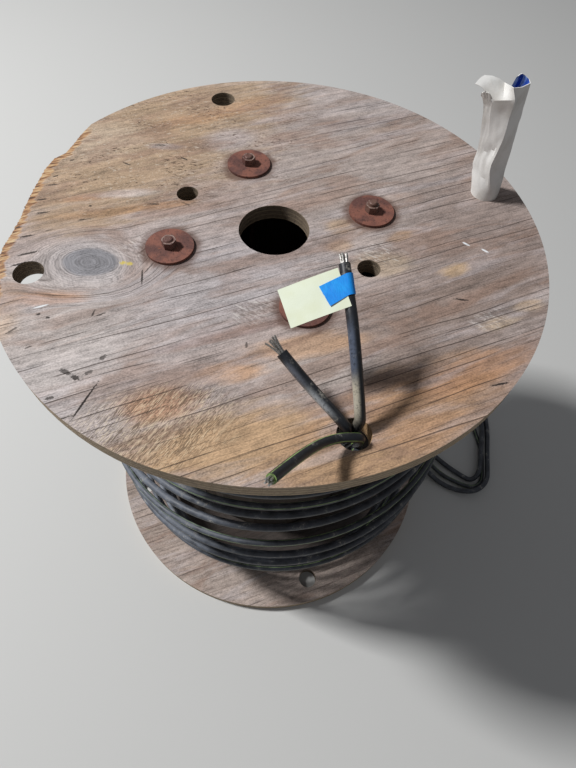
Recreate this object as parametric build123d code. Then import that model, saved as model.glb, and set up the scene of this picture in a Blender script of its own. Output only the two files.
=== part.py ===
from build123d import *
import math
import os

# A wooden cable drum that stands on end, in millimetres.
# The drum's axis is Z, the floor is z = 0, and -Y is the side that the photograph looks from.
# Azimuths are degrees about Z, measured from +X towards +Y.

os.makedirs("parts", exist_ok=True)

# Flanges, cut from 3/4 in plywood
FLANGE_DIA = 609.6
FLANGE_T = 19.0
TRAVERSE = 604.0

# Rim of the upper flange, worn away on its left: azimuth, and how much of the radius is gone
RIM_WEAR = [
    (142, 0), (147, 7.5), (150, 12.5), (154, 16), (157, 10.5), (161, 12), (166, 16.5), (172, 19),
    (178, 21), (183, 18), (187, 12.5), (191, 10), (198, 5), (206, 0),
]

# Holes through both flanges
ARBOR_DIA = 80.0
DRIVE_DIA = 25.4
DRIVE_PCD = 235.0
DRIVE_AZ = (151.0, 331.0)
START_DIA = 32.0
START_INSET = 39.8
SLEEVE_AZ = 16.0
START_COUNT = 4

# Barrel, made of flat staves set in a groove of each flange
STAVE_COUNT = 16
STAVE_T = 19.0
STAVE_CLEAR = 3.2
STAVE_GAP = 0.4
GROOVE_DEPTH = 6.0
GROOVE_CLEAR = 0.5

# Through bolts
BOLT_COUNT = 4
BOLT_PCD = 235.0
BOLT_AZ = 16.0
BOLT_DIA = 9.5
BOLT_CLEAR = 0.5
BOLT_PROUD = (4.0, 2.0, 1.5, 2.0)
NUT_AF = 14.3
NUT_H = 8.5
HEAD_H = 6.0
THREAD_CLEAR = 0.05
WASHER_DIA = 52.4
WASHER_T = 3.0
RECESS_CLEAR = 1.8
HEAD_LIFT = 0.4

# Cable: two conductors and a thinner striped one, wound as one loose layer that stands off the barrel
CABLE_DIA = 10.3
STRIPED_DIA = 8.9
COIL_SHIFT = 12.0
COIL_WALL = 34.0
COIL_TOP = 560.0
COIL_LIFT = 41.0
COIL_START_AZ = 320.0
COIL_END_AZ = 48.0
LOW_TURN_RADIUS = 240.0
TOP_FACE_RADIUS = 277.0
JACKET_T = 1.6

# Cardboard sleeve pushed into a start hole
CARD_T = 1.2
CARD_CLEAR = 0.1
SLEEVE_DIA = 34.0
SLEEVE_BELOW = 8.0
SLEEVE_RISE = 138.0
SLEEVE_THICK = 8.0

# Paper tag and the tape that holds it to a conductor
TAG_W = 53.0
TAG_H = 34.5
TAG_T = 0.5
TAG_OVERLAP = 2.4
TAG_TURN = 12.0
TAG_SETBACK = 21.0
TAPE_W = 20.0
TAPE_T = 0.4
TAPE_FLAT = 19.0
TAPE_WRAP = 150.0
TAPE_CLEAR = 0.1

FLANGE_R = FLANGE_DIA / 2
HEIGHT = TRAVERSE + 2 * FLANGE_T
TOP_FLANGE_Z = HEIGHT - FLANGE_T
START_R = FLANGE_R - START_INSET
STAVE_IN = DRIVE_PCD / 2 + DRIVE_DIA / 2 + STAVE_CLEAR
STAVE_OUT = STAVE_IN + STAVE_T
HALF_STEP = math.radians(180 / STAVE_COUNT)
BOLT_HOLE = BOLT_DIA + 2 * BOLT_CLEAR
RECESS_DIA = WASHER_DIA + 2 * RECESS_CLEAR
RECESS_DEPTH = HEAD_LIFT + HEAD_H + WASHER_T


def save(name, solid):
    """Write one piece to its own file and print its volume."""
    solid.label = name
    export_step(solid, f"parts/{name}.step")
    print(f"{name}: {solid.volume / 1000:.2f} cm3")


def polar(radius, azimuth, z=0.0):
    """Give the point at a radius and an azimuth about the drum's axis."""
    turn = math.radians(azimuth)
    return Vector(radius * math.cos(turn), radius * math.sin(turn), z)


def bolt_places():
    """Give the azimuths of the through bolts."""
    return [BOLT_AZ + i * 360 / BOLT_COUNT for i in range(BOLT_COUNT)]


def start_places():
    """Give the azimuths of the start holes, the sleeve's hole first."""
    return [SLEEVE_AZ + i * 360 / START_COUNT for i in range(START_COUNT)]


def flange(groove_z):
    """Make a flange with its lower face at z = 0 and its groove towards groove_z."""
    disc = Cylinder(FLANGE_R, FLANGE_T, align=(Align.CENTER, Align.CENTER, Align.MIN))
    disc -= Cylinder(ARBOR_DIA / 2, 3 * FLANGE_T)
    for azimuth in DRIVE_AZ:
        disc -= Pos(*polar(DRIVE_PCD / 2, azimuth)) * Cylinder(DRIVE_DIA / 2, 3 * FLANGE_T)
    for azimuth in start_places():
        disc -= Pos(*polar(START_R, azimuth)) * Cylinder(START_DIA / 2, 3 * FLANGE_T)
    for azimuth in bolt_places():
        disc -= Pos(*polar(BOLT_PCD / 2, azimuth)) * Cylinder(BOLT_HOLE / 2, 3 * FLANGE_T)
    outer = STAVE_OUT / math.cos(HALF_STEP) + GROOVE_CLEAR
    ring = Cylinder(outer, 2 * GROOVE_DEPTH) - Cylinder(STAVE_IN - GROOVE_CLEAR, 2 * GROOVE_DEPTH)
    return disc - Pos(0, 0, groove_z) * ring


def top_flange():
    """Make the upper flange, with its worn rim."""
    outside = [polar(2 * FLANGE_R, azimuth) for azimuth, _ in reversed(RIM_WEAR)]
    worn = [polar(FLANGE_R - depth, azimuth) for azimuth, depth in RIM_WEAR]
    bite = extrude(make_face(Polyline(*worn, *outside, close=True)), FLANGE_T)
    return Pos(0, 0, TOP_FLANGE_Z) * (flange(0) - bite)


def bottom_flange():
    """Make the lower flange, recessed underneath for the bolt heads so that it stands flat."""
    disc = flange(FLANGE_T)
    for azimuth in bolt_places():
        recess = Cylinder(RECESS_DIA / 2, 2 * RECESS_DEPTH)
        disc -= Pos(*polar(BOLT_PCD / 2, azimuth)) * recess
    return disc


def stave(azimuth):
    """Make one bevelled stave that stands on the groove floors of both flanges."""
    half_out = STAVE_OUT * math.tan(HALF_STEP) - STAVE_GAP / 2
    half_in = STAVE_IN * math.tan(HALF_STEP) - STAVE_GAP / 2
    outline = Polyline(
        (STAVE_IN, -half_in), (STAVE_OUT, -half_out), (STAVE_OUT, half_out), (STAVE_IN, half_in), close=True
    )
    board = extrude(make_face(outline), TRAVERSE + 2 * GROOVE_DEPTH)
    return Rot(0, 0, azimuth) * Pos(0, 0, FLANGE_T - GROOVE_DEPTH) * board


def washer(z, azimuth):
    """Make one large washer with its lower face at z."""
    ring = Cylinder(WASHER_DIA / 2, WASHER_T, align=(Align.CENTER, Align.CENTER, Align.MIN))
    ring -= Cylinder(BOLT_HOLE / 2, 3 * WASHER_T)
    return Pos(*polar(BOLT_PCD / 2, azimuth, z)) * ring


def hexagon(height, z):
    """Make a hexagonal prism whose corners are turned off at its top."""
    prism = extrude(RegularPolygon(NUT_AF / 2, 6, major_radius=False), height)
    corner = NUT_AF / 2 / math.cos(math.pi / 6)
    cone = Cone(corner + height, corner - 0.8, height + 0.8, align=(Align.CENTER, Align.CENTER, Align.MIN))
    return Pos(0, 0, z) * (prism & cone)


def nut(azimuth):
    """Make one nut that sits on its washer on the upper flange."""
    body = hexagon(NUT_H, HEIGHT + WASHER_T) - Pos(0, 0, HEIGHT) * Cylinder(BOLT_DIA / 2 + THREAD_CLEAR, 4 * NUT_H)
    return Pos(*polar(BOLT_PCD / 2, azimuth)) * body


def bolt(azimuth, proud):
    """Make one bolt from its recessed head to the end that stands proud of its nut."""
    head = Pos(0, 0, HEAD_LIFT + HEAD_H) * Rot(180, 0, 0) * hexagon(HEAD_H, 0)
    length = HEIGHT + WASHER_T + NUT_H + proud - HEAD_LIFT - HEAD_H
    shank = Cylinder(BOLT_DIA / 2, length, align=(Align.CENTER, Align.CENTER, Align.MIN))
    shank = chamfer(shank.edges().filter_by(GeomType.CIRCLE).sort_by(Axis.Z)[-1], 1.0)
    return Pos(*polar(BOLT_PCD / 2, azimuth)) * (head + Pos(0, 0, HEAD_LIFT + HEAD_H) * shank)


def winding():
    """Make the outer shape of the wound cable: a loose ring that is open low down on one side."""
    low = FLANGE_T + COIL_LIFT
    sides = [
        (LOW_TURN_RADIUS, FLANGE_T),
        (LOW_TURN_RADIUS + 6, low),
        (262, 110),
        (278, 180),
        (285, 250),
        (283, 320),
        (272, 400),
        (266, 470),
        (TOP_FACE_RADIUS, COIL_TOP),
    ]
    back = [(radius - COIL_WALL, z) for radius, z in reversed(sides)]
    outline = Polyline(*[(radius, 0, z) for radius, z in sides + back], close=True)
    ring = revolve(make_face(outline), Axis.Z)
    reach = 2 * FLANGE_R
    open_turn = (COIL_END_AZ - COIL_START_AZ) % 360
    sector = make_face(
        Polyline(
            (0, 0),
            polar(reach, COIL_START_AZ),
            polar(reach, COIL_START_AZ + open_turn / 2),
            polar(reach, COIL_END_AZ),
            close=True,
        )
    )
    return Pos(COIL_SHIFT, 0, 0) * (ring - extrude(sector, low))


def diameter(name):
    """Give a conductor's outside diameter."""
    return STRIPED_DIA if name == "striped" else CABLE_DIA


def tube(name, points, outside):
    """Make one conductor as straight runs joined by tangent arcs, and print its radii."""
    points = [Vector(*p) for p in points]
    runs = [b - a for a, b in zip(points, points[1:])]
    radii = []
    for before, after in zip(runs, runs[1:]):
        half_turn = math.radians(before.get_angle(after)) / 2
        radii.append(0.45 * min(before.length, after.length) / math.tan(half_turn))
    path = FilletPolyline(*points, radius=radii)
    start = Plane(origin=points[0], z_dir=runs[0])
    solid = sweep(start * Circle(outside / 2), path=path)
    section = math.pi * outside**2 / 4
    print(name, "length", round(path.length), "radii", [round(r) for r in radii])
    print(name, "volume over section times length", round(solid.volume / (section * path.length), 4))
    return solid


def strands(tip, direction, root, length, splay):
    """Make the bare metal end that stands out of a conductor's jacket."""
    stub = Cone(root / 2, (root + splay) / 2, length, align=(Align.CENTER, Align.CENTER, Align.MIN))
    return Plane(origin=tip, z_dir=direction).location * stub


# Hand-chosen routes of the three upper ends, from the winding's top face through the start hole
CABLE_HOLE = polar(START_R, SLEEVE_AZ - 90)
BUNDLE_R = 8.0
BUNDLE_AZ = (60.0, 180.0, 300.0)
LEAN_IN = Vector(-14, -3, 0)
RISE = 30.0
HOLE_ENTRY = 5.0


def hole_bundle(index):
    """Give the first three points of an upper end, up to the lower side of its start hole."""
    inside = CABLE_HOLE + polar(BUNDLE_R, BUNDLE_AZ[index])
    below = inside + LEAN_IN
    return [
        Vector(below.X, below.Y, COIL_TOP),
        Vector(below.X, below.Y, COIL_TOP + RISE),
        Vector(inside.X, inside.Y, TOP_FLANGE_Z - HOLE_ENTRY),
    ]


TAGGED_END = hole_bundle(0) + [(77, -246.5, 657), (66.5, -194, 713.2), (59.3, -143, 735)]
MIDDLE_END = hole_bundle(1) + [(65.5, -251, 650), (31, -224, 672), (8, -203, 690)]
STRIPED_END = hole_bundle(2) + [(77, -262.5, 651.5), (52, -266, 656.5), (26, -289, 680), (0.6, -324, 712)]
UPPER_ENDS = {"tagged": TAGGED_END, "middle": MIDDLE_END, "striped": STRIPED_END}
STRANDS = {"tagged": (8.0, 0.5), "middle": (13.0, 4.5), "striped": (6.0, 0.6)}

# Hand-chosen routes of the three tails, from the winding's lowest turn to the floor
TAIL_R = {"tagged": 233.0, "striped": 226.0, "middle": 219.0}
TAIL_Z = {"tagged": 24.5, "striped": 33.5, "middle": 24.5}
TAIL_LEAD = 80.0
TAIL_ROUTES = {
    "tagged": [
        (322, 30, 26), (372, -8, 5.4), (408, -38, 5.4), (431, -52, 5.8), (449, -36, 13.4), (457, -4, 15),
        (465, 32, 16.2), (477.5, 73, 13.4), (479, 115, 5.4), (470, 155, 5.4),
    ],
    "striped": [
        (308, 22, 31), (361, -33, 4.8), (397, -54, 4.8), (430, -68, 4.8), (454, -54, 4.8), (461, -20, 4.8),
        (467.5, 18, 4.8), (462, 62, 4.8), (457, 112, 4.8), (447, 160, 4.8),
    ],
    "middle": [
        (275, 42, 25), (316, -13, 25.4), (352, -50, 5.4), (392, -73, 5.4), (432, -79, 14), (460.5, -57, 15.6),
        (468, -24, 15.4), (475.5, 16, 14.8), (485.5, 52, 10), (492, 86, 5.4), (493.5, 120, 5.4),
    ],
}


def tail_points(name):
    """Give a tail's route, which leaves the lowest turn's end square to its face."""
    end_face = math.radians(COIL_END_AZ)
    first = Vector(COIL_SHIFT, 0, 0) + polar(TAIL_R[name], COIL_END_AZ, TAIL_Z[name])
    along = Vector(math.sin(end_face), -math.cos(end_face), 0)
    return [first, first + along * TAIL_LEAD] + TAIL_ROUTES[name]


# Sections of the crumpled sleeve above the flange: share of its rise, thickness, and lean along X and Y
SLEEVE_FORM = [(0.35, 24.0, -7.3, 1.0), (0.7, 16.5, -14.8, 2.0), (1.0, SLEEVE_THICK, -23.5, 3.0)]


def sleeve_form(inset):
    """Make the sleeve's outer form, or with an inset the space inside it."""
    bore = START_DIA / 2 - CARD_CLEAR - inset
    perimeter = math.pi * SLEEVE_DIA
    faces = [Circle(bore)]
    for share, thick, lean_x, lean_y in SLEEVE_FORM:
        width = (perimeter - math.pi * thick) / 2 + thick
        faces.append(Pos(lean_x, lean_y, SLEEVE_RISE * share) * Ellipse(width / 2 - inset, thick / 2 - inset))
    upper = loft(faces)
    lower = Cylinder(bore, FLANGE_T + SLEEVE_BELOW, align=(Align.CENTER, Align.CENTER, Align.MAX))
    return Pos(*polar(START_R, SLEEVE_AZ, HEIGHT)) * (upper + lower)


# The tag lies in a plane that touches the tagged conductor's last run
TAG_RUN_START, TAG_RUN_END = (Vector(*p) for p in TAGGED_END[-2:])
TAG_ALONG = (TAG_RUN_END - TAG_RUN_START).normalized()
TAG_ACROSS_HINT = Vector(0.9835, 0.0534, 0.1726)
TAG_ACROSS = (TAG_ACROSS_HINT - TAG_ALONG * TAG_ACROSS_HINT.dot(TAG_ALONG)).normalized()
TAG_UP = TAG_ACROSS.cross(TAG_ALONG)
TAG_MIDDLE = TAG_RUN_END - TAG_ALONG * TAG_SETBACK


def tag():
    """Make the blank paper tag, held under the tape on the conductor's upper side."""
    sheet = Box(TAG_W, TAG_H, TAG_T, align=(Align.MAX, Align.CENTER, Align.MIN))
    sheet = Pos(TAG_OVERLAP - CABLE_DIA / 2, 0, CABLE_DIA / 2) * Rot(0, 0, TAG_TURN) * sheet
    return Plane(origin=TAG_MIDDLE, x_dir=TAG_ACROSS, z_dir=TAG_UP).location * sheet


def tape():
    """Make the strip of tape that covers the tag's edge and wraps round the conductor."""
    radius = CABLE_DIA / 2 + TAPE_CLEAR
    over_tag = CABLE_DIA / 2 + TAG_T
    tag_edge = TAG_OVERLAP - CABLE_DIA / 2 + TAPE_W / 2 * math.tan(math.radians(TAG_TURN))
    end = math.radians(90 - TAPE_WRAP)
    middle = math.radians(90 - TAPE_WRAP / 2)

    def on_circle(r, angle):
        return (r * math.cos(angle), r * math.sin(angle))

    outside = radius + TAPE_T
    edges = [
        Line((-TAPE_FLAT, over_tag), (tag_edge, over_tag)),
        Line((tag_edge, over_tag), (0, radius)),
        ThreePointArc((0, radius), on_circle(radius, middle), on_circle(radius, end)),
        Line(on_circle(radius, end), on_circle(outside, end)),
        ThreePointArc(on_circle(outside, end), on_circle(outside, middle), (0, outside)),
        Line((0, outside), (tag_edge, over_tag + TAPE_T)),
        Line((tag_edge, over_tag + TAPE_T), (-TAPE_FLAT, over_tag + TAPE_T)),
        Line((-TAPE_FLAT, over_tag + TAPE_T), (-TAPE_FLAT, over_tag)),
    ]
    strip = extrude(make_face(Curve() + edges), TAPE_W / 2, both=True)
    return Plane(origin=TAG_MIDDLE, x_dir=TAG_ACROSS, z_dir=TAG_ALONG * -1).location * strip


# Flanges
save("flange_bottom", bottom_flange())
save("flange_top", top_flange())

# Barrel
for number in range(STAVE_COUNT):
    save(f"stave_{number + 1:02d}", stave(number * 360 / STAVE_COUNT))

# Bolts, nuts and washers
for number, azimuth in enumerate(bolt_places(), 1):
    save(f"washer_base_{number}", washer(HEAD_LIFT + HEAD_H, azimuth))
    save(f"washer_top_{number}", washer(HEIGHT, azimuth))
    save(f"nut_{number}", nut(azimuth))
    save(f"bolt_{number}", bolt(azimuth, BOLT_PROUD[number - 1]))

# Cable
save("cable_winding", winding())
for name, points in UPPER_ENDS.items():
    save(f"cable_end_{name}", tube(f"cable_end_{name}", points, diameter(name)))
    tip = Vector(*points[-1])
    out = tip - Vector(*points[-2])
    length, splay = STRANDS[name]
    save(f"strands_{name}", strands(tip, out, diameter(name) - 2 * JACKET_T, length, splay))
for name in TAIL_ROUTES:
    save(f"cable_tail_{name}", tube(f"cable_tail_{name}", tail_points(name), diameter(name)))

# Sleeve, tag and tape
save("card_sleeve", sleeve_form(0) - sleeve_form(CARD_T))
save("tag", tag())
save("masking_tape", tape())
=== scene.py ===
import math
import random
import bpy
from mathutils import Matrix, Vector, noise


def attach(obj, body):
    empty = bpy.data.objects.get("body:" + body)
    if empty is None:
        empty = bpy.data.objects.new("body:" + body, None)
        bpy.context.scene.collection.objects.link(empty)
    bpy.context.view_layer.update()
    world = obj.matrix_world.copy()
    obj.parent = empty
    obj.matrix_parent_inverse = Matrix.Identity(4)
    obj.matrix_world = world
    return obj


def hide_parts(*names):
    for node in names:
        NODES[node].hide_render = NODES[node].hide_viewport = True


# A wooden cable drum on end, dressed round its CAD frame.
# Single sizes are in metres. Routes, tables of places and what is modelled from them are in millimetres.

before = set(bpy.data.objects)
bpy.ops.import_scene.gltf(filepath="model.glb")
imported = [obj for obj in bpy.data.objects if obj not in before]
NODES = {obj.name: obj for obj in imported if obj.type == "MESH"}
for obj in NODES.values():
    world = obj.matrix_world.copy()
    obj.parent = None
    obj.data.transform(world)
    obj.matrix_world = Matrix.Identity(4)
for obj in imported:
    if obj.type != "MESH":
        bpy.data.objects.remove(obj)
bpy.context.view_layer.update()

MM = 0.001
FLANGE_R = 0.3048
FLANGE_T = 0.019
PLY_COUNT = 7
PLY_T = FLANGE_T / PLY_COUNT
HEIGHT = 0.642
TOP_FLANGE_Z = HEIGHT - FLANGE_T
BOLT_R = 0.1175
BOLT_AZ = 16.0
BOLT_COUNT = 4
STAVE_COUNT = 16
START_R = 0.265
CABLE_DIA = 0.0103
STRIPED_DIA = 0.0089
COIL_SHIFT = 0.012
GRAIN_TURN = math.radians(22)
BASE_GRAIN_TURN = math.radians(20)


# Small helpers

def polar(radius, azimuth, z=0.0):
    """Give the point at a radius and an azimuth in degrees about the drum's axis."""
    turn = math.radians(azimuth)
    return Vector((radius * math.cos(turn), radius * math.sin(turn), z))


def blend_values(table, x):
    """Read a value at x from a table of (x, value) pairs, with straight lines between them."""
    if x <= table[0][0]:
        return table[0][1]
    for (x0, y0), (x1, y1) in zip(table, table[1:]):
        if x <= x1:
            return y0 + (y1 - y0) * (x - x0) / (x1 - x0)
    return table[-1][1]


def limit(value, least, most):
    return max(least, min(most, value))


def wild(x, y=0.0, z=0.0):
    """Give one steady random number from about -1 to 1 for a place."""
    return noise.noise(Vector((x, y, z)))


def deselect():
    bpy.ops.object.select_all(action="DESELECT")


def pick(obj):
    """Make one object the only selected and active one."""
    deselect()
    obj.select_set(True)
    bpy.context.view_layer.objects.active = obj


# Node materials

# A size so great that its direction hardly counts
FAR = 1000


class Paint:
    """One procedural material: a Principled shader and short calls that add nodes to it."""

    def __init__(self, name, roughness=0.7, metallic=0.0):
        self.mat = bpy.data.materials.new(name)
        self.mat.use_nodes = True
        self.nodes = self.mat.node_tree.nodes
        self.links = self.mat.node_tree.links
        self.shader = self.nodes["Principled BSDF"]
        self.shader.inputs["Roughness"].default_value = roughness
        self.shader.inputs["Metallic"].default_value = metallic
        self.coords = self.nodes.new("ShaderNodeTexCoord")
        self.geometry = self.nodes.new("ShaderNodeNewGeometry")

    def join(self, source, target):
        """Feed a socket with a number, a colour or another node's output."""
        if isinstance(source, (int, float, tuple)):
            target.default_value = source
        else:
            self.links.new(source, target)

    def place(self, size, centre=(0, 0, 0), turn=0.0, source=None):
        """Give coordinates about a centre, turned, and counted in steps of a size in metres."""
        node = self.nodes.new("ShaderNodeMapping")
        node.vector_type = "TEXTURE"
        node.inputs["Location"].default_value = centre
        node.inputs["Rotation"].default_value = (0, 0, turn)
        node.inputs["Scale"].default_value = size if isinstance(size, tuple) else (size,) * 3
        self.join(source or self.coords.outputs["Object"], node.inputs["Vector"])
        return node.outputs["Vector"]

    def noise(self, size, detail=4.0, rough=0.55, distortion=0.0, shift=(0, 0, 0), turn=0.0, source=None):
        """Give soft noise whose waves have about the given size in metres."""
        vector = self.place(size, shift, turn, source)
        node = self.nodes.new("ShaderNodeTexNoise")
        node.inputs["Scale"].default_value = 1.0
        node.inputs["Detail"].default_value = detail
        node.inputs["Roughness"].default_value = rough
        node.inputs["Distortion"].default_value = distortion
        self.join(vector, node.inputs["Vector"])
        return node.outputs["Fac"]

    def facing(self):
        """Give the part of the surface's direction that points up."""
        return self.parts(self.geometry.outputs["Normal"])[2]

    def patch(self, centre, radii, turn=0.0, soft=0.4, ragged=None, reach=1.0, height=HEIGHT, deep=0.06):
        """Give 1 inside an oval patch of a surface and 0 outside, with a ragged edge if asked."""
        across = (2 * radii[0] * MM, 2 * radii[1] * MM, 2 * deep)
        vector = self.place(across, (centre[0] * MM, centre[1] * MM, height), math.radians(turn))
        ball = self.nodes.new("ShaderNodeTexGradient")
        ball.gradient_type = "SPHERICAL"
        self.join(vector, ball.inputs["Vector"])
        near = ball.outputs["Fac"]
        if ragged is not None:
            near = self.minus(near, self.times(self.minus(ragged, 0.5), reach / 2))
        return self.band(near, (1 - soft) / 2, (1 + soft) / 2)

    def math(self, operation, a, b=0.0):
        node = self.nodes.new("ShaderNodeMath")
        node.operation = operation
        self.join(a, node.inputs[0])
        self.join(b, node.inputs[1])
        return node.outputs[0]

    def times(self, a, b):
        return self.math("MULTIPLY", a, b)

    def plus(self, a, b):
        return self.math("ADD", a, b)

    def minus(self, a, b):
        return self.math("SUBTRACT", a, b)

    def band(self, value, low, high, to_low=0.0, to_high=1.0, kind="SMOOTHSTEP"):
        """Map a value from low..high to to_low..to_high, held at both ends."""
        node = self.nodes.new("ShaderNodeMapRange")
        node.interpolation_type = kind
        self.join(value, node.inputs["Value"])
        node.inputs["From Min"].default_value = low
        node.inputs["From Max"].default_value = high
        node.inputs["To Min"].default_value = to_low
        node.inputs["To Max"].default_value = to_high
        return node.outputs["Result"]

    def mix(self, factor, a, b, kind="MIX"):
        node = self.nodes.new("ShaderNodeMix")
        node.data_type = "RGBA"
        node.blend_type = kind
        self.join(factor, node.inputs["Factor"])
        self.join(a, node.inputs["A"])
        self.join(b, node.inputs["B"])
        return node.outputs["Result"]

    def over(self, colour, tint, mask, strength):
        """Lay a tint over a colour where a mask is 1, at a strength."""
        return self.mix(self.times(mask, strength), colour, tint)

    def ramp(self, value, stops):
        """Colour a value by (place, colour) stops."""
        node = self.nodes.new("ShaderNodeValToRGB")
        marks = node.color_ramp.elements
        while len(marks) < len(stops):
            marks.new(0.5)
        for mark, (place, colour) in zip(marks, stops):
            mark.position = place
            mark.color = colour
        self.join(value, node.inputs["Fac"])
        return node.outputs["Color"]

    def parts(self, vector):
        node = self.nodes.new("ShaderNodeSeparateXYZ")
        self.join(vector, node.inputs[0])
        return node.outputs

    def distance(self, vector):
        node = self.nodes.new("ShaderNodeVectorMath")
        node.operation = "LENGTH"
        self.join(vector, node.inputs[0])
        return node.outputs["Value"]

    def from_axis(self, x=0.0, y=0.0):
        """Give the distance from an upright line."""
        return self.distance(self.place((1, 1, FAR), (x, y, 0)))

    def bump(self, height, distance, strength):
        node = self.nodes.new("ShaderNodeBump")
        node.inputs["Strength"].default_value = strength
        node.inputs["Distance"].default_value = distance
        self.join(height, node.inputs["Height"])
        self.links.new(node.outputs["Normal"], self.shader.inputs["Normal"])

    def colour(self, source):
        self.join(source, self.shader.inputs["Base Color"])

    def finish(self, *objects):
        """Put the material on every slot of the objects."""
        for obj in objects:
            if not obj.material_slots:
                obj.data.materials.append(self.mat)
            for slot in obj.material_slots:
                slot.material = self.mat


def rgb(red, green, blue):
    """Turn a display colour of 0 to 255 into the linear colour that sockets hold."""
    def linear(value):
        value /= 255
        return value / 12.92 if value <= 0.04045 else ((value + 0.055) / 1.055) ** 2.4
    return (linear(red), linear(green), linear(blue), 1.0)


# Camera at the photograph's place

PHOTO_HEIGHT = 768
FOCAL = 520.03
SENSOR = 36.0
CAMERA_PLACE = (0, -0.45516, 1.05162)
YAW, PITCH, ROLL = -0.05964, 0.55025, 0.06604


def add_camera():
    """Set the camera where the photograph was taken."""
    data = bpy.data.cameras.new("view")
    data.sensor_width = SENSOR
    data.lens = FOCAL * SENSOR / PHOTO_HEIGHT
    data.clip_start = 0.01
    camera = bpy.data.objects.new("view", data)
    bpy.context.scene.collection.objects.link(camera)
    turned = Matrix.Rotation(YAW, 4, "Z") @ Matrix.Rotation(PITCH, 4, "X") @ Matrix.Rotation(ROLL, 4, "Z")
    camera.matrix_world = Matrix.Translation(CAMERA_PLACE) @ turned
    bpy.context.scene.camera = camera


# Cable: routes in millimetres, the same as in the CAD source

UPPER_ENDS = {
    "tagged": [
        (73.0, -250.5, 632), (77.0, -247.0, 646), (77, -246.5, 657), (66.5, -194, 713.2),
        (62.9, -168.5, 724.1), (59.3, -143, 735),
    ],
    "middle": [(69.0, -254.0, 632), (66.0, -253.0, 641), (65.5, -251, 650), (31, -224, 672), (8, -203, 690)],
    "striped": [
        (75.5, -259.5, 632), (77.0, -261.6, 642), (77, -262.5, 651.5), (52, -266, 656.5),
        (26, -289, 680), (0.6, -324, 712),
    ],
}
TAIL_ROUTES = {
    "tagged": [
        (322, 30, 26), (372, -8, 5.4), (408, -38, 5.4), (431, -52, 5.8), (449, -36, 13.4), (457, -4, 15),
        (465, 32, 16.2), (477.5, 73, 13.4), (479, 115, 5.4), (470, 155, 5.4),
    ],
    "striped": [
        (308, 22, 31), (361, -33, 4.8), (397, -54, 4.8), (430, -68, 4.8), (454, -54, 4.8), (461, -20, 4.8),
        (467.5, 18, 4.8), (462, 62, 4.8), (457, 112, 4.8), (447, 160, 4.8),
    ],
    "middle": [
        (275, 42, 25), (316, -13, 25.4), (352, -50, 5.4), (392, -73, 5.4), (432, -79, 14), (460.5, -57, 15.6),
        (468, -24, 15.4), (475.5, 16, 14.8), (485.5, 52, 10), (492, 86, 5.4), (493.3, 120, 5.4),
    ],
}
CABLE_HOLE = polar(START_R, BOLT_AZ - 90) / MM
BUNDLE_R = 8.0
BUNDLE_AZ = {"tagged": 60.0, "middle": 180.0, "striped": 300.0}
HOLE_MIDDLE, HOLE_FOOT = 632, 606

# The winding: turns counted from the start hole, clockwise and down. Heights are (turn, z) pairs.
COIL_TURNS = 4.661
POINTS_PER_TURN = 16
START_AZ = -74.0
TURN_Z = {
    "tagged": [(0, 562), (0.04, 555), (1.04, 475), (2.04, 377), (3.04, 236), (4.04, 110), (4.4, 60), (4.661, 24.5)],
    "striped": [(0, 536), (0.04, 530), (1.04, 444), (2.04, 335), (3.04, 190), (4.04, 80), (4.4, 47), (4.661, 33.5)],
    "middle": [(0, 509), (0.04, 502), (1.04, 414), (2.04, 284), (3.04, 150), (4.04, 55), (4.4, 33), (4.661, 24.5)],
}
# Radius of the winding at a height, as (z, radius) pairs
COIL_R = [(25, 227), (60, 239), (94, 248), (182, 274), (243, 280), (312, 278), (376, 268), (437, 261), (560, 259)]
# How far each turn is pushed up where it passes the left side
LEFT_PUSH = {"tagged": (0, -3, -7, 4, 0), "striped": (0, -2, -1, 4, 0), "middle": (0, -6, 7, 0, 0)}
TAIL_R = {"tagged": 233.0, "striped": 226.0, "middle": 219.0}
TAIL_LEAD = 80.0
END_AZ = 48.0
TAIL_SHARE = 0.2

# How far a turn may sway from its even course, in millimetres, and how strongly it does
SWAY_Z, SWAY_Z_GAIN = 5, 10
SWAY_R, SWAY_R_GAIN = 3.5, 8
SWAY_RATE = 2.3


def diameter(name):
    """Give a conductor's outside diameter."""
    return STRIPED_DIA if name.endswith("striped") else CABLE_DIA


def nurbs(name, points):
    """Make one smooth round cord along control points in millimetres, with its radius held by the points."""
    data = bpy.data.curves.new(name, "CURVE")
    data.dimensions = "3D"
    data.bevel_depth = 1.0
    data.bevel_resolution = 4
    data.resolution_u = 6
    data.use_fill_caps = True
    spline = data.splines.new("NURBS")
    spline.points.add(len(points) - 1)
    for mark, point in zip(spline.points, points):
        mark.co = (*(Vector(point) * MM), 1.0)
        mark.radius = diameter(name) / 2
    spline.order_u = 3
    spline.use_endpoint_u = True
    obj = bpy.data.objects.new(name, data)
    bpy.context.scene.collection.objects.link(obj)
    return obj


def route_length(obj):
    """Measure a cord's centreline, in metres."""
    depth = obj.data.bevel_depth
    obj.data.bevel_depth = 0.0
    bpy.context.view_layer.update()
    mesh = bpy.data.meshes.new_from_object(obj.evaluated_get(bpy.context.evaluated_depsgraph_get()))
    obj.data.bevel_depth = depth
    total = sum((mesh.vertices[i + 1].co - mesh.vertices[i].co).length for i in range(len(mesh.vertices) - 1))
    bpy.data.meshes.remove(mesh)
    return total


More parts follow.
